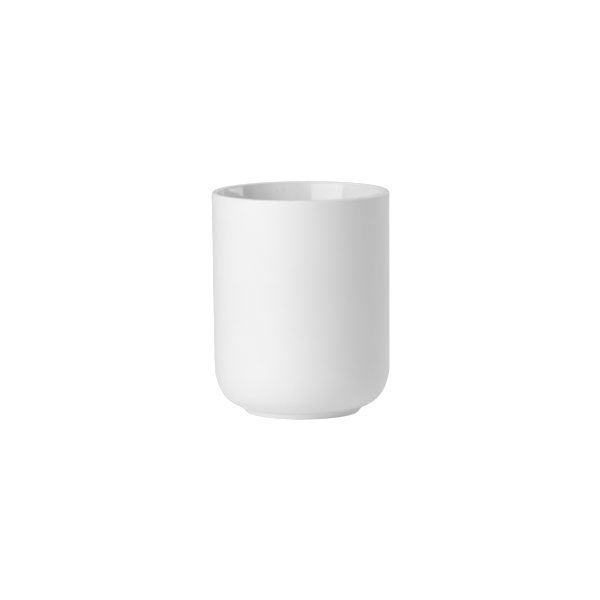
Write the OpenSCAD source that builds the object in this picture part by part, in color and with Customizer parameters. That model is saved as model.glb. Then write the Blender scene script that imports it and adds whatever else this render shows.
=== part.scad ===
// Pen holder cup: a plain round stoneware cup for pens, pencils and brushes.
// The outside wall leans out very slightly up to a full-round lip, and the inside tapers in
// under the lip to the full thickness of the wall. At the bottom the outside turns under in
// a wide curve and then a tight one, and runs in to a low foot ring.
// The fired clay carries three finishing layers: a matt coat outside and over the lip,
// a gloss glaze inside, and the same glaze in the recess under the base.
// Origin: centre of the resting face. +Z is up. All sizes are in millimetres and degrees.

/* [Cup] */
// Outside diameter at the lip
cup_d = 83; // [79:0.5:88]
// Height from the resting face to the crest of the lip
cup_h = 104; // [98:1:110]
// Lean of the outside wall, out towards the lip
wall_lean = 0.33; // [0.1:0.01:0.6]
// Thickness of the full-round lip
lip_t = 2.6; // [2.2:0.1:3.2]
// Taper of the inside face just under the lip, which brings the wall to its full thickness
lip_taper = 8.5; // [6:0.5:11]
// Radius that eases the taper into the inside wall
taper_r = 25; // [10:1:40]
// Thickness of the wall where the rounded bottom starts
wall_t = 4.3; // [3.8:0.1:5]
// Lean of the inside wall below the taper, out towards the lip
inside_lean = 0.5; // [0.2:0.1:0.8]

/* [Rounded bottom] */
// Height of the centre of the wide curve, where the straight wall ends
shoulder_h = 22; // [21.5:0.1:23.5]
// Radius of the wide curve
shoulder_r = 25; // [23:0.5:28]
// Turn of the wide curve before the tight curve takes over
shoulder_turn = 29; // [22:1:34]
// Radius of the tight curve
heel_r = 13.3; // [12.7:0.1:14]
// Slope of the underside, down to the foot ring
under_slope = 27; // [24:0.5:29]

/* [Floor] */
// Height of the inside floor above the resting face
floor_z = 6.5; // [6:0.1:8]
// Radius of the corner between the inside wall and the floor
corner_r = 13; // [10:0.5:15]

/* [Foot ring] */
// Outside diameter of the flat resting face
rest_d = 51.6; // [50:0.2:53]
// Width of the flat resting face
rest_w = 2.2; // [1.6:0.1:3]
// Radius of the outer edge of the foot ring
edge_r = 0.9; // [0.7:0.1:1.2]
// Radius of the inner edge of the foot ring
inner_edge_r = 0.9; // [0.6:0.1:1.1]
// Lean of the outer face of the foot ring, out towards the top
foot_lean = 41; // [30:1:44]
// Lean of the inner face of the foot ring, in towards the top
recess_lean = 25; // [10:1:40]
// Height of the ceiling of the recess above the resting face
recess_h = 1.8; // [1.5:0.1:2.2]

/* [Finishing layers] */
// Thickness of the matt coat and of the glazes
skin_t = 0.25; // [0.15:0.05:0.3]
// Place on the foot ring's outer edge where the coat stops, measured down from level
coat_stop = 55; // [50:1:65]

/* [Hidden] */
// Largest turn of one straight piece of a round stretch
arc_step = 5;
turn_fn = 180;

// A unit vector, the meeting point of two lines, and a list of points the other way round
function dir(a) = [cos(a), sin(a)];
function cross2(u, v) = u[0] * v[1] - u[1] * v[0];
function meet(p, u, q, v) = p + u * cross2(q - p, v) / cross2(u, v);
function reversed(points) = [for (i = [len(points) - 1:-1:0]) points[i]];

// Points of an arc about c, from angle a to angle b. first = 1 leaves out the starting point.
function arc(c, r, a, b, first = 0) =
    let (n = ceil(abs(b - a) / arc_step))
    [for (i = [first:n]) c + r * dir(a + (b - a) * i / n)];

lip_r = lip_t / 2;
lip_c = [cup_d / 2 - lip_r, cup_h - lip_r];
// Angles of the normals of the outside wall, the taper under the lip and the inside wall
out_a = -wall_lean;
taper_a = 180 - lip_taper;
in_a = 180 - inside_lean;

// Centre of the wide curve, set so that the outside wall is tangent to it and to the lip
shoulder_c = meet(
    lip_c + (lip_r - shoulder_r) * dir(out_a), dir(out_a + 90), [0, shoulder_h], [1, 0]
);
heel_c = shoulder_c + (shoulder_r - heel_r) * dir(-shoulder_turn);
// A point on the inside wall, and the centres of the curves above and below it
wall_p = [shoulder_c[0] + shoulder_r - wall_t, shoulder_h];
taper_c = meet(
    lip_c + (lip_r - taper_r) * dir(taper_a), dir(taper_a + 90),
    wall_p - taper_r * dir(in_a), dir(in_a + 90)
);
corner_c = meet(
    wall_p + corner_r * dir(in_a), dir(in_a + 90), [0, floor_z + corner_r], [1, 0]
);

// Centres of the foot ring's two rounded edges
edge_c = [rest_d / 2, edge_r];
inner_edge_c = [rest_d / 2 - rest_w, inner_edge_r];
// Angles of the normals of the resting face, the underside and the foot ring's two faces
down_a = -90;
under_a = under_slope - 90;
foot_a = -foot_lean;
recess_a = recess_lean - 180;

// The root of the foot ring, and the corner of the recess, s under the finished surface
function foot_root(s) = meet(
    heel_c + (heel_r - s) * dir(under_a), dir(under_slope),
    edge_c + (edge_r - s) * dir(foot_a), dir(90 - foot_lean)
);
function recess_corner(s) = meet(
    [0, recess_h + s], [1, 0],
    inner_edge_c + (inner_edge_r - s) * dir(recess_a), dir(90 + recess_lean)
);

// Section of the outside, s under the finished surface, from the coat's end on the foot ring
// along the underside, up the wall and over the lip to its inner edge
function outside(s) = concat(
    arc(edge_c, edge_r - s, -coat_stop, foot_a),
    [foot_root(s)],
    arc(heel_c, heel_r - s, under_a, -shoulder_turn),
    arc(shoulder_c, shoulder_r - s, -shoulder_turn, out_a, 1),
    arc(lip_c, lip_r - s, out_a, taper_a)
);

// Section of the inside, s behind the finished surface, from the axis to the foot of the lip
function inside(s) = concat(
    [[0, floor_z - s]],
    arc(corner_c, corner_r + s, down_a, in_a - 180),
    arc(taper_c, taper_r - s, in_a, taper_a),
    [lip_c + (lip_r - s) * dir(taper_a)]
);

// Section of the recess, s above the finished surface, from the axis to the ring's edge
function recess(s) = [
    [0, recess_h + s],
    recess_corner(s),
    inner_edge_c + (inner_edge_r - s) * dir(recess_a)
];

// Section of the bare foot ring, from the recess to the coat's end
bare_ring = concat(
    arc(inner_edge_c, inner_edge_r, recess_a, down_a),
    arc(edge_c, edge_r, down_a, -coat_stop)
);

// A ring or bowl turned about the axis from its section
module turned(section) {
    rotate_extrude($fn = turn_fn) polygon(section);
}

// A layer of even thickness under a finished surface: near is its face, far its back
module layer(near, far) {
    turned(concat(near, reversed(far)));
}

// Fired clay: wall, floor and foot ring, bare where the ring rests and along its edges.
// The inside's last point is the lip's own, so it is left out here.
module stoneware_body() {
    lining = inside(skin_t);
    color([0.85, 0.81, 0.75]) turned(concat(
        recess(skin_t),
        bare_ring,
        outside(skin_t),
        [for (i = [len(lining) - 2:-1:0]) lining[i]]
    ));
}

// Matt coat: over the foot ring's outer face, the underside, the wall and the lip
module matt_coat() {
    color([0.93, 0.93, 0.92]) layer(outside(0), outside(skin_t));
}

// Gloss glaze: from the inner edge of the lip, down the wall, round the corner and the floor
module inner_glaze() {
    color([0.96, 0.96, 0.95]) layer(inside(0), inside(skin_t));
}

// Gloss glaze on the ceiling of the recess and on the foot ring's inner face
module base_glaze() {
    color([0.94, 0.94, 0.93]) layer(recess(0), recess(skin_t));
}

stoneware_body();
matt_coat();
inner_glaze();
base_glaze();
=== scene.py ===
"""A round stoneware pen cup: matt white outside, gloss glazed inside, on a bare clay foot ring.

The cup is turned from its section, layer by layer, as a potter would make it: the fired clay,
the matt coat on the outside, the glaze inside and the glaze in the recess under the base.
All sizes are in metres and all heights are above the resting face.
"""

import logging
import math
from dataclasses import dataclass, field
from enum import Enum
from typing import Any, Sequence

import bpy
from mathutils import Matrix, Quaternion, Vector


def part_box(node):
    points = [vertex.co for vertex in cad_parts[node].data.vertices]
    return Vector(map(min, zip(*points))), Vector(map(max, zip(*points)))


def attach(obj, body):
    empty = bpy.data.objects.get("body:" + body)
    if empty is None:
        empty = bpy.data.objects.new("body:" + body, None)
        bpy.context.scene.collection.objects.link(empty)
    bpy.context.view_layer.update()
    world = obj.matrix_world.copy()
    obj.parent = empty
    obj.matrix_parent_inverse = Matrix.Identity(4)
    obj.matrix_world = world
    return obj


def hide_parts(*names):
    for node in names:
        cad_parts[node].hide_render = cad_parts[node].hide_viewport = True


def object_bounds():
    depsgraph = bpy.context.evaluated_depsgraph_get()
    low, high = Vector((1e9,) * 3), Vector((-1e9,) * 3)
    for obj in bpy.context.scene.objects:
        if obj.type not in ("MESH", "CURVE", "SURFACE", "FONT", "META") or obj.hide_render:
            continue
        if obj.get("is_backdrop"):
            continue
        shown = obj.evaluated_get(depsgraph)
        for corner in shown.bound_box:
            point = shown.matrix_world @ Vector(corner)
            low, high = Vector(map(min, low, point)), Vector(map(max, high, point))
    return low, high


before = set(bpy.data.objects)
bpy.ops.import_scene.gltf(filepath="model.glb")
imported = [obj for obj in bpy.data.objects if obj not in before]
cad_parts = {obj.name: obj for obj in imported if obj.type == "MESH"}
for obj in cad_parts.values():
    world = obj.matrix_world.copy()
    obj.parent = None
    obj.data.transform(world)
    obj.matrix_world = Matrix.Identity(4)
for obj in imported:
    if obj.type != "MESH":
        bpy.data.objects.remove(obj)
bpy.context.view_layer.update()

MM = 0.001
BODY = "root"
CURVE_STEP = 3.0
log = logging.getLogger("pen_cup")


# ---------------------------------------------------------------- the section


class Node(Enum):
    """The cup's pieces, by the names that their solids have in the frame."""

    CLAY = "stoneware_body"
    COAT = "matt_coat"
    GLAZE = "inner_glaze"
    BASE = "base_glaze"


Point = Vector


def facing(degrees: float) -> Point:
    """Return the unit vector at an angle in the section, level and outward at 0."""
    return Vector((math.cos(math.radians(degrees)), math.sin(math.radians(degrees))))


def meet(p: Point, u: Point, q: Point, v: Point) -> Point:
    """Find where two lines of the section cross.

    Args:
        p: A point on the first line.
        u: The first line's direction.
        q: A point on the second line.
        v: The second line's direction.

    Returns:
        The crossing point.
    """
    gap = q - p
    return p + u * ((gap.x * v.y - gap.y * v.x) / (u.x * v.y - u.y * v.x))


def arc(
    centre: Point, radius: float, start: float, end: float, step: float = CURVE_STEP
) -> list[Point]:
    """Lay points along an arc of the section.

    Args:
        centre: The arc's centre.
        radius: Its radius.
        start: The angle of its first point, in degrees.
        end: The angle of its last point.
        step: The largest turn between two points.

    Returns:
        The points, both ends included.
    """
    count = max(1, math.ceil(abs(end - start) / step))
    turns = [start + (end - start) * i / count for i in range(count + 1)]
    return [centre + radius * facing(turn) for turn in turns]


def straight(start: Point, end: Point, spacing: float) -> list[Point]:
    """Lay evenly spaced points between two points, both of which are left out.

    Args:
        start: Where the stretch starts.
        end: Where it ends.
        spacing: The largest distance between two points.

    Returns:
        The points between them.
    """
    count = max(1, math.ceil((end - start).length / spacing))
    return [start.lerp(end, i / count) for i in range(1, count)]


@dataclass(frozen=True)
class CupSection:
    """The cup's finished section, as (distance from the axis, height) in metres.

    Each outline takes a depth, so that one description gives a layer's face and its back.
    """

    lip_radius: float
    height: float
    lip_thickness: float = 2.6 * MM
    wall_lean: float = 0.33
    lip_taper: float = 8.5
    taper_radius: float = 25 * MM
    wall_thickness: float = 4.3 * MM
    inside_lean: float = 0.5
    shoulder_height: float = 22 * MM
    shoulder_radius: float = 25 * MM
    shoulder_turn: float = 29.0
    heel_radius: float = 13.3 * MM
    underside_slope: float = 27.0
    floor_height: float = 6.5 * MM
    corner_radius: float = 13 * MM
    rest_radius: float = 25.8 * MM
    rest_width: float = 2.2 * MM
    edge_radius: float = 0.9 * MM
    inner_edge_radius: float = 0.9 * MM
    foot_lean: float = 41.0
    root_radius: float = 0.4 * MM
    recess_lean: float = 25.0
    recess_height: float = 1.8 * MM
    recess_fillet: float = 0.7 * MM
    coat_stop: float = 55.0
    skin: float = 0.25 * MM
    spacing: float = 1.6 * MM
    ring_spacing: float = 0.5 * MM
    taper_step: float = 1.0
    edge_step: float = 6.0
    fillet_step: float = 8.0
    lip_step: float = 9.0

    @classmethod
    def from_frame(cls) -> "CupSection":
        """Take the outside diameter and the height from the frame's coat."""
        _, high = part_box(Node.COAT.value)
        return cls(lip_radius=high.x, height=high.z)

    @property
    def lip_round(self) -> float:
        """The radius of the full-round lip."""
        return self.lip_thickness / 2

    @property
    def lip_centre(self) -> Point:
        """The centre of the lip's round."""
        return Vector((self.lip_radius - self.lip_round, self.height - self.lip_round))

    @property
    def outside_angle(self) -> float:
        """The angle of the outside wall's normal."""
        return -self.wall_lean

    @property
    def taper_angle(self) -> float:
        """The angle of the normal of the taper under the lip."""
        return 180 - self.lip_taper

    @property
    def inside_angle(self) -> float:
        """The angle of the inside wall's normal."""
        return 180 - self.inside_lean

    @property
    def underside_angle(self) -> float:
        """The angle of the underside's normal."""
        return self.underside_slope - 90

    @property
    def shoulder_centre(self) -> Point:
        """The centre of the wide curve, tangent to the outside wall."""
        normal = facing(self.outside_angle)
        return meet(
            self.lip_centre + (self.lip_round - self.shoulder_radius) * normal,
            facing(self.outside_angle + 90),
            Vector((0, self.shoulder_height)),
            Vector((1, 0)),
        )

    @property
    def heel_centre(self) -> Point:
        """The centre of the tight curve, tangent to the wide one."""
        inward = self.shoulder_radius - self.heel_radius
        return self.shoulder_centre + inward * facing(-self.shoulder_turn)

    @property
    def wall_point(self) -> Point:
        """A point on the inside wall, level with the centre of the wide curve."""
        reach = self.shoulder_centre.x + self.shoulder_radius - self.wall_thickness
        return Vector((reach, self.shoulder_height))

    @property
    def taper_centre(self) -> Point:
        """The centre of the curve that eases the taper into the inside wall."""
        return meet(
            self.lip_centre + (self.lip_round - self.taper_radius) * facing(self.taper_angle),
            facing(self.taper_angle + 90),
            self.wall_point - self.taper_radius * facing(self.inside_angle),
            facing(self.inside_angle + 90),
        )

    @property
    def corner_centre(self) -> Point:
        """The centre of the curve between the inside wall and the floor."""
        return meet(
            self.wall_point + self.corner_radius * facing(self.inside_angle),
            facing(self.inside_angle + 90),
            Vector((0, self.floor_height + self.corner_radius)),
            Vector((1, 0)),
        )

    @property
    def edge_centre(self) -> Point:
        """The centre of the foot ring's outer edge."""
        return Vector((self.rest_radius, self.edge_radius))

    @property
    def inner_edge_centre(self) -> Point:
        """The centre of the foot ring's inner edge."""
        return Vector((self.rest_radius - self.rest_width, self.inner_edge_radius))

    def foot_root(self, depth: float) -> list[Point]:
        """Round the inward corner between the foot ring and the underside.

        Args:
            depth: How far under the finished surface the outline lies.

        Returns:
            The points of the small curve, from the foot ring to the underside.
        """
        radius = self.root_radius + depth
        centre = meet(
            self.heel_centre + (self.heel_radius + self.root_radius) * facing(self.underside_angle),
            facing(self.underside_slope),
            self.edge_centre + (self.edge_radius + self.root_radius) * facing(-self.foot_lean),
            facing(90 - self.foot_lean),
        )
        return arc(
            centre, radius, 180 - self.foot_lean, 90 + self.underside_slope, self.fillet_step
        )

    def outside(self, depth: float) -> list[Point]:
        """Outline the outside, from the coat's end on the foot ring to the lip's inner edge.

        Args:
            depth: How far under the finished surface the outline lies.

        Returns:
            The outline's points.
        """
        foot = arc(
            self.edge_centre,
            self.edge_radius - depth,
            -self.coat_stop,
            -self.foot_lean,
            self.edge_step,
        )
        heel = arc(
            self.heel_centre, self.heel_radius - depth, self.underside_angle, -self.shoulder_turn
        )
        shoulder = arc(
            self.shoulder_centre,
            self.shoulder_radius - depth,
            -self.shoulder_turn,
            self.outside_angle,
        )
        lip = arc(
            self.lip_centre,
            self.lip_round - depth,
            self.outside_angle,
            self.taper_angle,
            self.lip_step,
        )
        wall = straight(shoulder[-1], lip[0], self.spacing)
        return foot + self.foot_root(depth) + heel + shoulder[1:] + wall + lip

    def inside(self, depth: float) -> list[Point]:
        """Outline the inside, from the middle of the floor to the foot of the lip.

        Args:
            depth: How far behind the finished surface the outline lies.

        Returns:
            The outline's points.
        """
        middle = Vector((0, self.floor_height - depth))
        corner = arc(
            self.corner_centre, self.corner_radius + depth, -90, self.inside_angle - 180
        )
        taper = arc(
            self.taper_centre,
            self.taper_radius - depth,
            self.inside_angle,
            self.taper_angle,
            self.taper_step,
        )
        lip = self.lip_centre + (self.lip_round - depth) * facing(self.taper_angle)
        floor = straight(middle, corner[0], self.spacing)
        wall = straight(corner[-1], taper[0], self.spacing)
        rise = straight(taper[-1], lip, self.spacing)
        return [middle] + floor + corner + wall + taper + rise + [lip]

    def recess(self, depth: float) -> list[Point]:
        """Outline the recess under the base, from its middle to the foot ring's inner edge.

        Args:
            depth: How far above the finished surface the outline lies.

        Returns:
            The outline's points.
        """
        middle = Vector((0, self.recess_height + depth))
        face = self.recess_lean - 180
        radius = self.recess_fillet + depth
        centre = meet(
            Vector((0, self.recess_height - self.recess_fillet)),
            Vector((1, 0)),
            self.inner_edge_centre + (self.inner_edge_radius + self.recess_fillet) * facing(face),
            facing(face + 90),
        )
        corner = arc(centre, radius, 90, face + 180, self.fillet_step)
        edge = self.inner_edge_centre + (self.inner_edge_radius - depth) * facing(face)
        return [middle] + straight(middle, corner[0], self.spacing) + corner + [edge]

    def bare_ring(self) -> list[Point]:
        """Outline the bare foot ring, from the recess's glaze to the coat's end."""
        inner = arc(
            self.inner_edge_centre,
            self.inner_edge_radius,
            self.recess_lean - 180,
            -90,
            self.fillet_step,
        )
        outer = arc(self.edge_centre, self.edge_radius, -90, -self.coat_stop, self.edge_step)
        return inner + straight(inner[-1], outer[0], self.ring_spacing) + outer


# ---------------------------------------------------------------- the lathe


@dataclass(frozen=True)
class Lathe:
    """Turns a closed section about the cup's axis into a mesh."""

    steps: int = 192
    weld: float = 0.004 * MM
    sharp_angle: float = math.radians(50)

    def turn(self, name: str, section: Sequence[Point]) -> bpy.types.Object:
        """Draw a section with extruded points and spin it.

        Args:
            name: The new piece's name.
            section: The section's points, in order round it. Two may lie on the axis.

        Returns:
            The finished piece, closed and facing outward.
        """
        piece = self._first_point(name, section[0])
        for before, after in zip(section, section[1:]):
            shift = after - before
            bpy.ops.mesh.extrude_region_move(
                TRANSFORM_OT_translate={"value": (shift.x, 0, shift.y)}
            )
        bpy.ops.mesh.select_all(action="SELECT")
        if section[0].x > self.weld:
            self._close_outline(piece)
        bpy.ops.mesh.spin(
            steps=self.steps, angle=math.tau, center=(0, 0, 0), axis=(0, 0, 1)
        )
        bpy.ops.mesh.select_all(action="SELECT")
        bpy.ops.mesh.remove_doubles(threshold=self.weld)
        bpy.ops.mesh.normals_make_consistent(inside=False)
        bpy.ops.object.mode_set(mode="OBJECT")
        bpy.ops.object.shade_smooth_by_angle(angle=self.sharp_angle)
        return piece

    def _first_point(self, name: str, place: Point) -> bpy.types.Object:
        """Start a piece as one point, by closing a small plane up at the section's start.

        Args:
            name: The new piece's name.
            place: The section's first point.

        Returns:
            The new piece, left in edit mode with its point selected.
        """
        bpy.ops.object.select_all(action="DESELECT")
        bpy.ops.mesh.primitive_plane_add(size=MM, location=(0, 0, 0))
        piece = bpy.context.active_object
        piece.name = name
        piece.data.name = name
        bpy.ops.object.mode_set(mode="EDIT")
        bpy.ops.mesh.select_mode(type="VERT")
        bpy.ops.mesh.merge(type="CENTER")
        bpy.ops.transform.translate(value=(place.x, 0, place.y))
        return piece

    def _close_outline(self, piece: bpy.types.Object) -> None:
        """Join the outline's last point to its first.

        Args:
            piece: The piece in edit mode.
        """
        bpy.ops.object.mode_set(mode="OBJECT")
        ends = {0, len(piece.data.vertices) - 1}
        for vertex in piece.data.vertices:
            vertex.select = vertex.index in ends
        for edge in piece.data.edges:
            edge.select = False
        bpy.ops.object.mode_set(mode="EDIT")
        bpy.ops.mesh.edge_face_add()
        bpy.ops.mesh.select_all(action="SELECT")


# ---------------------------------------------------------------- shader building


class Field:
    """A number that varies over the surface: one output socket, with arithmetic."""

    def __init__(self, nodes: "Nodes", socket: bpy.types.NodeSocket) -> None:
        """Wrap an output socket of a material."""
        self.nodes = nodes
        self.socket = socket

    def centred(self) -> "Field":
        """Swing a field that runs from 0 to 1 about zero."""
        return self - 0.5

    def _math(self, operation: str, *terms: Any) -> "Field":
        """Add one Math node on these terms."""
        return self.nodes.make("ShaderNodeMath", {"operation": operation}, dict(enumerate(terms)))

    def __add__(self, other: Any) -> "Field":
        """Add a number or a field."""
        return self._math("ADD", self, other)

    __radd__ = __add__

    def __sub__(self, other: Any) -> "Field":
        """Subtract a number or a field."""
        return self._math("SUBTRACT", self, other)

    def __rsub__(self, other: Any) -> "Field":
        """Subtract this field from a number."""
        return self._math("SUBTRACT", other, self)

    def __mul__(self, other: Any) -> "Field":
        """Multiply by a number or a field."""
        return self._math("MULTIPLY", self, other)

    __rmul__ = __mul__

    def ramp(self, low: float, high: float) -> "Field":
        """Go smoothly from 0 where this field is low to 1 where it is high.

        Args:
            low: The value that gives 0.
            high: The value that gives 1. It may be the smaller of the two.

        Returns:
            The eased field.
        """
        if low > high:
            return 1 - self.ramp(high, low)
        settings = {"interpolation_type": "SMOOTHSTEP"}
        values = {"Value": self, "From Min": low, "From Max": high}
        return self.nodes.make("ShaderNodeMapRange", settings, values, "Result")


class Nodes:
    """Builds the nodes of one material or of the room."""

    def __init__(self, owner: bpy.types.Material | bpy.types.World) -> None:
        """Start with no nodes.

        Args:
            owner: The material or the room that the nodes are for.
        """
        owner.use_nodes = True
        self.tree = owner.node_tree
        self.tree.nodes.clear()

    def add(
        self, kind: str, settings: dict[str, Any], values: dict[Any, Any]
    ) -> bpy.types.Node:
        """Add a node of any type.

        Args:
            kind: The node's type.
            settings: Its own settings, set before its sockets.
            values: What each input socket gets, by name or number: a value or a field.

        Returns:
            The node.
        """
        node = self.tree.nodes.new(kind)
        for key, value in settings.items():
            setattr(node, key, value)
        for key, value in values.items():
            self._feed(node.inputs[key], value)
        return node

    def make(
        self, kind: str, settings: dict[str, Any], values: dict[Any, Any], output: Any = 0
    ) -> Field:
        """Add a node and take one of its outputs.

        Args:
            kind: The node's type.
            settings: Its own settings.
            values: What each input socket gets.
            output: The output socket wanted, by name or number.

        Returns:
            The wanted output.
        """
        return Field(self, self.add(kind, settings, values).outputs[output])

    def _feed(self, socket: bpy.types.NodeSocket, value: Any) -> None:
        """Link a field to a socket, or set the socket's own value."""
        if isinstance(value, Field):
            self.tree.links.new(value.socket, socket)
        else:
            socket.default_value = value


class Surface(Nodes):
    """Builds one material of the cup or of the floor, on Object coordinates."""

    speck_core: float = 0.5
    pick_edge: float = 0.01

    def __init__(self, name: str) -> None:
        """Start an empty material."""
        self.material = bpy.data.materials.new(name)
        super().__init__(self.material)
        self.place = self.make("ShaderNodeTexCoord", {}, {}, "Object")

    def noise(self, size: float, detail: float = 2.0, roughness: float = 0.5) -> Field:
        """Cloudy noise from 0 to 1 whose patches are about this size.

        Args:
            size: The patches' size, in metres.
            detail: How many finer layers it has.
            roughness: How strong the finer layers are.

        Returns:
            The noise.
        """
        values = {
            "Vector": self.place,
            "Scale": 1 / size,
            "Detail": detail,
            "Roughness": roughness,
        }
        return self.make("ShaderNodeTexNoise", {}, values, 0)

    def specks(self, spacing: float, radius: float, share: float) -> Field:
        """Small round marks scattered over the surface.

        Args:
            spacing: The mean distance between places where a mark may be.
            radius: The marks' radius, in metres.
            share: The share of those places that has a mark.

        Returns:
            1 inside a mark and 0 outside.
        """
        values = {"Vector": self.place, "Scale": 1 / spacing}
        near = self.make("ShaderNodeTexVoronoi", {"feature": "F1"}, values, "Distance")
        cell = self.make("ShaderNodeTexVoronoi", {"feature": "F1"}, values, "Color")
        pick = self.make("ShaderNodeSeparateColor", {}, {"Color": cell}, "Red")
        inside = near.ramp(radius / spacing, self.speck_core * radius / spacing)
        return inside * pick.ramp(1 - share, 1 - share + self.pick_edge)

    def distance(self, point: tuple[float, float, float]) -> Field:
        """The distance from a point, in metres."""
        values = {0: self.place, 1: point}
        return self.make("ShaderNodeVectorMath", {"operation": "DISTANCE"}, values, "Value")

    def height(self) -> Field:
        """The height above the resting face, in metres."""
        return self.make("ShaderNodeSeparateXYZ", {}, {"Vector": self.place}, "Z")

    def reach(self) -> Field:
        """The distance from the cup's axis, in metres."""
        flat = self.make(
            "ShaderNodeVectorMath",
            {"operation": "MULTIPLY"},
            {0: self.place, 1: (1, 1, 0)},
        )
        return self.make("ShaderNodeVectorMath", {"operation": "LENGTH"}, {0: flat}, "Value")

    def blend(self, share: Field, first: Any, second: Any) -> Field:
        """Mix two colours.

        Args:
            share: 0 for the first colour, 1 for the second.
            first: A colour or a colour field.
            second: A colour or a colour field.

        Returns:
            The mixed colour.
        """
        values = {"Factor": share, 6: opaque(first), 7: opaque(second)}
        return self.make("ShaderNodeMix", {"data_type": "RGBA"}, values, 2)

    def relief(self, height: Field, distance: float, under: Field | None = None) -> Field:
        """Raise the surface's shading by a height field.

        Args:
            height: The relief's height, from 0 to 1.
            distance: The height that 1 stands for, in metres.
            under: The relief that this one lies on.

        Returns:
            The shading normal.
        """
        values = {"Height": height, "Strength": 1.0, "Distance": distance}
        if under is not None:
            values["Normal"] = under
        return self.make("ShaderNodeBump", {}, values)

    def dress(self, **sockets: Any) -> bpy.types.Material:
        """Finish the material with a Principled shader.

        Args:
            sockets: A value or a field for each of the shader's sockets, by the socket's
                name with an underscore for each space.

        Returns:
            The finished material.
        """
        values = {key.replace("_", " "): value for key, value in sockets.items()}
        shader = self.make("ShaderNodeBsdfPrincipled", {}, values, "BSDF")
        self.add("ShaderNodeOutputMaterial", {}, {"Surface": shader})
        return self.material


def opaque(colour: Any) -> Any:
    """Give a plain colour an alpha of 1, and leave a field as it is."""
    return colour if isinstance(colour, Field) else (*colour, 1.0)


# ---------------------------------------------------------------- finishes


@dataclass(frozen=True)
class MattCoatFinish:
    """A dry, fine-grained white coat, warmer where it runs thin over an edge."""

    white: tuple[float, float, float] = (0.855, 0.850, 0.850)
    cool: tuple[float, float, float] = (0.842, 0.840, 0.842)
    thin: tuple[float, float, float] = (0.83, 0.82, 0.775)
    # Painted dark reflection: the olive line along the lip's inner edge, where the coat meets the
    # glaze.
    seam_painted_reflection: tuple[float, float, float] = (0.64, 0.63, 0.56)
    # Painted shade: the grey band in the corner where the underside meets the foot ring.
    root_painted_shade: tuple[float, float, float] = (0.71, 0.71, 0.67)
    thin_strength: float = 0.5
    seam_painted_reflection_strength: float = 0.5
    root_painted_shade_strength: float = 0.6
    roughness: float = 0.62
    grain_roughness: float = 0.1
    cloud_roughness: float = 0.06
    ior: float = 1.45
    lip_band: float = 0.9 * MM
    foot_band: float = 0.5 * MM
    # Width and wander of the painted dark reflection at the lip's inner edge.
    seam_reflection_width: float = 0.45 * MM
    seam_reflection_drift: float = 0.4
    # Width, height and wander of the painted shade at the foot ring's root.
    root_shade_width: float = 0.8 * MM
    root_shade_rise: float = 0.9 * MM
    root_shade_drift: float = 0.5
    cloud_size: float = 16 * MM
    cloud_low: float = 0.35
    cloud_high: float = 0.65
    peel_size: float = 2.2 * MM
    grain_size: float = 0.45 * MM
    drift_size: float = 5 * MM
    drift_reach: float = 0.5 * MM
    swell_height: float = 0.1 * MM
    peel_height: float = 0.012 * MM
    grain_height: float = 0.006 * MM

    def material(self, section: CupSection) -> bpy.types.Material:
        """Build the coat's material.

        Args:
            section: The cup's section, which says where the coat runs thin.

        Returns:
            The material.
        """
        nodes = Surface("matt_white_coat")
        height = nodes.height()
        cloud = nodes.noise(self.cloud_size, 3.0)
        grain = nodes.noise(self.grain_size, 2.0)
        peel = nodes.noise(self.peel_size, 2.0)
        drift = nodes.noise(self.drift_size, 2.0).centred() * self.drift_reach
        body = nodes.blend(cloud.ramp(self.cloud_low, self.cloud_high), self.white, self.cool)
        colour = self._edges(nodes, section, height, drift, body)
        swell = nodes.relief(cloud, self.swell_height)
        skin = nodes.relief(peel, self.peel_height, swell)
        return nodes.dress(
            Base_Color=colour,
            Roughness=self.roughness
            + grain.centred() * self.grain_roughness
            + cloud.centred() * self.cloud_roughness,
            Normal=nodes.relief(grain, self.grain_height, skin),
            IOR=self.ior,
        )

    def _edges(
        self, nodes: Surface, section: CupSection, height: Field, drift: Field, body: Field
    ) -> Field:
        """Tint the coat where it runs thin, paint a dark reflection along the lip's inner edge
        where the coat meets the glaze, and paint shade into the corner at the foot ring's root.

        Args:
            nodes: The material's nodes.
            section: The cup's section.
            height: The height above the resting face.
            drift: How far the coat's edges wander up and down.
            body: The coat's colour away from its edges.

        Returns:
            The tinted colour.
        """
        lip = (height + drift).ramp(section.height - self.lip_band, section.height)
        foot = (height + drift).ramp(2 * self.foot_band, self.foot_band)
        thin = lip * self.thin_strength + foot * self.thin_strength
        washed = nodes.blend(thin, body, self.thin)
        # Painted dark reflection: a thin olive line on the lip's inner edge, where the coat meets
        # the glaze.
        end = section.outside(0)[-1]
        within = nodes.reach().ramp(section.lip_centre.x, end.x)
        near_lip = height.ramp(end.y - 4 * self.seam_reflection_width, end.y - 2 * self.seam_reflection_width)
        stop = (height + drift * self.seam_reflection_drift).ramp(end.y + self.seam_reflection_width, end.y)
        edged = nodes.blend(stop * within * near_lip * self.seam_painted_reflection_strength, washed, self.seam_painted_reflection)
        # Painted shade: a grey band darkens the corner where the underside meets the foot ring.
        root = section.foot_root(0)[-1].y + self.root_shade_rise
        above = (height + drift * self.root_shade_drift).ramp(root + self.root_shade_width, root)
        corner = above * height.ramp(root - self.root_shade_width, root)
        return nodes.blend(corner * self.root_painted_shade_strength, edged, self.root_painted_shade)


@dataclass(frozen=True)
class Fleck:
    """A faint mark where a grain of the clay shows through the glaze."""

    place: tuple[float, float, float]
    radius: float
    strength: float


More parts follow.
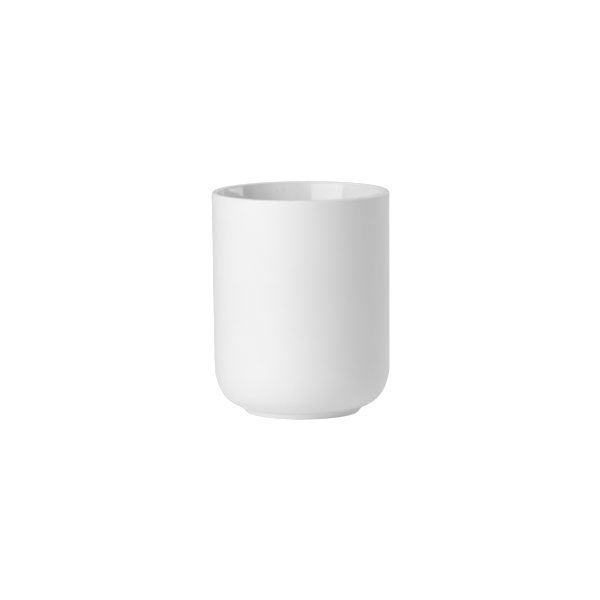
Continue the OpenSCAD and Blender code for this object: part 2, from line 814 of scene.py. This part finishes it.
@dataclass(frozen=True)
class GlossGlazeFinish:
    """A wet-looking white glaze with a slow wave in it and a few pinholes."""

    name: str
    white: tuple[float, float, float] = (0.868, 0.865, 0.865)
    pooled: tuple[float, float, float] = (0.80, 0.82, 0.815)
    stain: tuple[float, float, float] = (0.55, 0.54, 0.47)
    roughness: float = 0.035
    unevenness: float = 0.02
    ior: float = 1.55
    wave_size: float = 9 * MM
    wave_height: float = 0.004 * MM
    cloud_size: float = 6 * MM
    pool_drift: float = 3 * MM
    pool_depth: float = 0.4
    pool_strength: float = 0.8
    pinhole_spacing: float = 17 * MM
    pinhole_radius: float = 0.3 * MM
    pinhole_share: float = 0.25
    pinhole_strength: float = 0.5
    pinhole_roughness: float = 0.3
    pinhole_height: float = 0.04 * MM
    fleck_core: float = 0.3
    flecks: tuple[Fleck, ...] = ()

    def material(self, pool_top: float) -> bpy.types.Material:
        """Build the glaze's material.

        Args:
            pool_top: The height below which the glaze has run together and lies thicker.

        Returns:
            The material.
        """
        nodes = Surface(self.name)
        height = nodes.height()
        slow = nodes.noise(self.wave_size, 1.0)
        cloud = nodes.noise(self.cloud_size, 3.0)
        pinholes = nodes.specks(self.pinhole_spacing, self.pinhole_radius, self.pinhole_share)
        pool = (height + cloud.centred() * self.pool_drift).ramp(
            pool_top, self.pool_depth * pool_top
        )
        stains = pinholes * self.pinhole_strength
        for fleck in self.flecks:
            gap = nodes.distance(fleck.place) + cloud.centred() * fleck.radius
            mark = gap.ramp(fleck.radius, self.fleck_core * fleck.radius)
            stains = stains + mark * fleck.strength
        body = nodes.blend(pool * self.pool_strength, self.white, self.pooled)
        wave = nodes.relief(slow, self.wave_height)
        return nodes.dress(
            Base_Color=nodes.blend(stains, body, self.stain),
            Roughness=self.roughness
            + cloud.centred() * self.unevenness
            + pinholes * self.pinhole_roughness,
            Normal=nodes.relief(1 - pinholes, self.pinhole_height, wave),
            IOR=self.ior,
        )


@dataclass(frozen=True)
class BareClayFinish:
    """Unglazed cream stoneware, dry and open-grained, with fine dark grit."""

    cream: tuple[float, float, float] = (0.80, 0.76, 0.69)
    sand: tuple[float, float, float] = (0.74, 0.69, 0.61)
    grit: tuple[float, float, float] = (0.42, 0.36, 0.30)
    roughness: float = 0.9
    grain_roughness: float = 0.15
    cloud_size: float = 3 * MM
    cloud_low: float = 0.3
    cloud_high: float = 0.7
    grain_size: float = 0.3 * MM
    grain_height: float = 0.03 * MM
    fineness: float = 0.6
    grit_spacing: float = 1.4 * MM
    grit_radius: float = 0.16 * MM
    grit_share: float = 0.35
    grit_strength: float = 0.8

    def material(self) -> bpy.types.Material:
        """Build the clay's material."""
        nodes = Surface("bare_stoneware")
        cloud = nodes.noise(self.cloud_size, 4.0, self.fineness)
        grain = nodes.noise(self.grain_size, 3.0, self.fineness)
        grit = nodes.specks(self.grit_spacing, self.grit_radius, self.grit_share)
        body = nodes.blend(cloud.ramp(self.cloud_low, self.cloud_high), self.cream, self.sand)
        return nodes.dress(
            Base_Color=nodes.blend(grit * self.grit_strength, body, self.grit),
            Roughness=self.roughness + grain.centred() * self.grain_roughness,
            Normal=nodes.relief(grain, self.grain_height),
        )


# ---------------------------------------------------------------- the pieces


@dataclass(frozen=True)
class TurnedLayer:
    """A piece of the cup turned on the lathe, which stands for one solid of the frame."""

    section: CupSection
    lathe: Lathe = field(default_factory=Lathe)
    node: Node = Node.CLAY
    slot: str = ""

    def outline(self) -> list[Point]:
        """Return the piece's closed section."""
        raise NotImplementedError

    def finish(self) -> bpy.types.Material:
        """Return the piece's material."""
        raise NotImplementedError

    def build(self) -> bpy.types.Object:
        """Turn the piece, dress it and put it on the frame."""
        piece = self.lathe.turn(f"cup_{self.node.value}", self.outline())
        piece.data.materials.append(self.finish())
        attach(piece, BODY)
        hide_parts(self.node.value)
        return piece


@dataclass(frozen=True)
class StonewareBody(TurnedLayer):
    """The fired clay: wall, floor and foot ring."""

    node: Node = Node.CLAY
    slot: str = "bare_stoneware"

    def outline(self) -> list[Point]:
        """Follow the recess, the bare ring, the outside and the inside, back to the axis."""
        cup = self.section
        return (
            cup.recess(cup.skin)
            + cup.bare_ring()
            + cup.outside(cup.skin)
            + cup.inside(cup.skin)[-2::-1]
        )

    def finish(self) -> bpy.types.Material:
        """Leave the clay bare."""
        return BareClayFinish().material()


@dataclass(frozen=True)
class MattCoat(TurnedLayer):
    """The matt coat, from the foot ring's outer edge up over the lip."""

    node: Node = Node.COAT
    slot: str = "matt_white_coat"

    def outline(self) -> list[Point]:
        """Follow the coat's face and come back along the clay."""
        cup = self.section
        return cup.outside(0) + cup.outside(cup.skin)[::-1]

    def finish(self) -> bpy.types.Material:
        """Give the coat its dry white."""
        return MattCoatFinish().material(self.section)


@dataclass(frozen=True)
class InnerGlaze(TurnedLayer):
    """The gloss glaze that lines the inside up to the lip."""

    node: Node = Node.GLAZE
    slot: str = "gloss_white_glaze"
    flecks: tuple[Fleck, ...] = (
        Fleck((-0.0110, 0.0366, 0.0995), 1.1 * MM, 0.2),
        Fleck((-0.0077, 0.0374, 0.1000), 1.3 * MM, 0.2),
    )

    def outline(self) -> list[Point]:
        """Follow the glaze's face and come back along the clay."""
        cup = self.section
        return cup.inside(0) + cup.inside(cup.skin)[::-1]

    def finish(self) -> bpy.types.Material:
        """Give the glaze its wet white, thicker in the bottom corner."""
        pool_top = self.section.floor_height + self.section.corner_radius / 2
        return GlossGlazeFinish(self.slot, flecks=self.flecks).material(pool_top)


@dataclass(frozen=True)
class BaseGlaze(TurnedLayer):
    """The glaze in the recess under the base."""

    node: Node = Node.BASE
    slot: str = "base_white_glaze"
    roughness: float = 0.22
    unevenness: float = 0.12
    pool_top: float = 0.1 * MM

    def outline(self) -> list[Point]:
        """Follow the glaze's face and come back along the clay."""
        cup = self.section
        return cup.recess(0) + cup.recess(cup.skin)[::-1]

    def finish(self) -> bpy.types.Material:
        """Give the recess a thinner, less even gloss."""
        glaze = GlossGlazeFinish(
            self.slot, roughness=self.roughness, unevenness=self.unevenness
        )
        return glaze.material(self.pool_top)


# ---------------------------------------------------------------- the studio


@dataclass(frozen=True)
class Softbox:
    """A large soft light that faces the cup and fills a patch of its sky."""

    name: str
    azimuths: tuple[float, float]
    elevations: tuple[float, float]
    radiance: float
    distance: float = 2.0

    def hang(self, target: Vector) -> None:
        """Hang the light and turn it towards a point.

        Args:
            target: The point that it faces.
        """
        turn = math.radians(sum(self.azimuths) / 2)
        rise = math.radians(sum(self.elevations) / 2)
        half_turn = math.radians(self.azimuths[1] - self.azimuths[0]) / 2
        half_rise = math.radians(self.elevations[1] - self.elevations[0]) / 2
        back = Vector(
            (
                math.sin(turn) * math.cos(rise),
                -math.cos(turn) * math.cos(rise),
                math.sin(rise),
            )
        )
        bpy.ops.object.light_add(type="AREA", location=target + back * self.distance)
        lamp = bpy.context.active_object
        lamp.name = self.name
        lamp.rotation_euler = back.to_track_quat("Z", "Y").to_euler()
        lamp.visible_camera = False
        lamp.data.shape = "RECTANGLE"
        lamp.data.size = 2 * self.distance * math.tan(half_turn) * math.cos(rise)
        lamp.data.size_y = 2 * self.distance * math.tan(half_rise)
        lamp.data.energy = self.radiance * math.pi * lamp.data.size * lamp.data.size_y


@dataclass(frozen=True)
class Studio:
    """A pale floor, soft lights and the camera."""

    centre: Vector
    floor_size: float = 24.0
    floor_white: float = 0.80
    floor_roughness: float = 0.95
    floor_specular: float = 0.2
    floor_boost: float = 0.6
    far_boost: float = 0.45
    far_start: float = 0.7
    far_end: float = 1.7
    table_glow: float = 0.145
    table_radius: float = 0.17
    spot_glow: float = 0.11
    spot_radius: float = 0.065
    spot_centre: tuple[float, float, float] = (-0.018, -0.010, 0)
    room_light: float = 0.193
    room_boost: float = 1.1
    camera_distance: float = 2.116
    camera_elevation: float = 7.94
    camera_side: float = -0.693 * MM
    camera_roll: float = -0.54
    aim_height: float = 52.49 * MM
    camera_height: float = 51.0 * MM
    lens: float = 271.6
    sensor_width: float = 36.0
    clip_end: float = 40.0
    softboxes: tuple[Softbox, ...] = (
        Softbox("key_softbox_low", (-61.5, -15.7), (2, 22), 2.15),
        Softbox("key_softbox_high", (-65, -15), (22, 47), 5.25),
        Softbox("side_softbox", (89.3, 121.5), (-1, 14), 3.0),
        Softbox("rim_softbox", (122, 152), (16, 42), 4.9),
        Softbox("front_card", (-14.5, 55.4), (6, 12), 0.6),
        Softbox("front_strip", (55.4, 67.6), (6, 12), 0.4),
        Softbox("top_softbox", (115, 245), (78, 90), 3.0),
    )

    def build(self) -> None:
        """Set up the floor, the room, the lights and the camera."""
        self._lay_floor()
        self._light_room()
        for softbox in self.softboxes:
            softbox.hang(self.centre)
        self._stand_camera()
        bpy.context.scene.view_settings.view_transform = "Standard"

    def _lay_floor(self) -> None:
        """Lay the pale floor, which glows a little round the cup like a light table."""
        bpy.ops.object.select_all(action="DESELECT")
        bpy.ops.mesh.primitive_plane_add(size=self.floor_size, location=(0, 0, 0))
        floor = bpy.context.active_object
        floor.name = "studio_floor"
        nodes = Surface("studio_floor")
        direct = nodes.make("ShaderNodeLightPath", {}, {}, "Is Camera Ray")
        gap = nodes.distance(self.spot_centre)
        lift = gap.ramp(self.far_start, self.far_end) * self.far_boost + self.floor_boost
        glow = gap.ramp(self.table_radius, 0) * self.table_glow
        spot = gap.ramp(self.spot_radius, 0) * self.spot_glow
        finish = nodes.dress(
            Base_Color=opaque((self.floor_white,) * 3),
            Roughness=self.floor_roughness,
            Specular_IOR_Level=self.floor_specular,
            Emission_Color=direct * lift + glow + spot,
            Emission_Strength=1.0,
        )
        floor.data.materials.append(finish)
        floor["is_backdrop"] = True

    def _light_room(self) -> None:
        """Fill the room with a dim even light, and show its walls white."""
        room = bpy.data.worlds.new("studio_room")
        bpy.context.scene.world = room
        nodes = Nodes(room)
        direct = nodes.make("ShaderNodeLightPath", {}, {}, "Is Camera Ray")
        values = {"Value": direct, "To Min": self.room_light, "To Max": self.room_boost}
        level = nodes.make("ShaderNodeMapRange", {}, values, "Result")
        values = {"Color": opaque((1, 1, 1)), "Strength": level}
        walls = nodes.make("ShaderNodeBackground", {}, values)
        nodes.add("ShaderNodeOutputWorld", {}, {"Surface": walls})

    def _stand_camera(self) -> None:
        """Stand the camera a little above the cup and aim it at the cup's middle."""
        rise = math.radians(self.camera_elevation)
        away = Vector((0, -math.cos(rise), math.sin(rise))) * self.camera_distance
        place = Vector((self.camera_side, 0, self.camera_height)) + away
        sight = place - Vector((self.camera_side, 0, self.aim_height))
        bpy.ops.object.camera_add(location=place)
        camera = bpy.context.active_object
        camera.name = "studio_camera"
        level = sight.to_track_quat("Z", "Y")
        roll = Quaternion(sight.normalized(), math.radians(self.camera_roll))
        camera.rotation_euler = (roll @ level).to_euler()
        camera.data.lens = self.lens
        camera.data.sensor_width = self.sensor_width
        camera.data.clip_end = self.clip_end
        bpy.context.scene.camera = camera


# ---------------------------------------------------------------- making


def main() -> None:
    """Build the cup layer by layer, then the studio round it."""
    logging.basicConfig(level=logging.INFO, format="%(message)s")
    section = CupSection.from_frame()
    for layer in (StonewareBody, MattCoat, InnerGlaze, BaseGlaze):
        piece = layer(section).build()
        log.info("%s: %d faces", piece.name, len(piece.data.polygons))
    low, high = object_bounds()
    Studio(centre=(low + high) / 2).build()


if __name__ == "__main__":
    main()
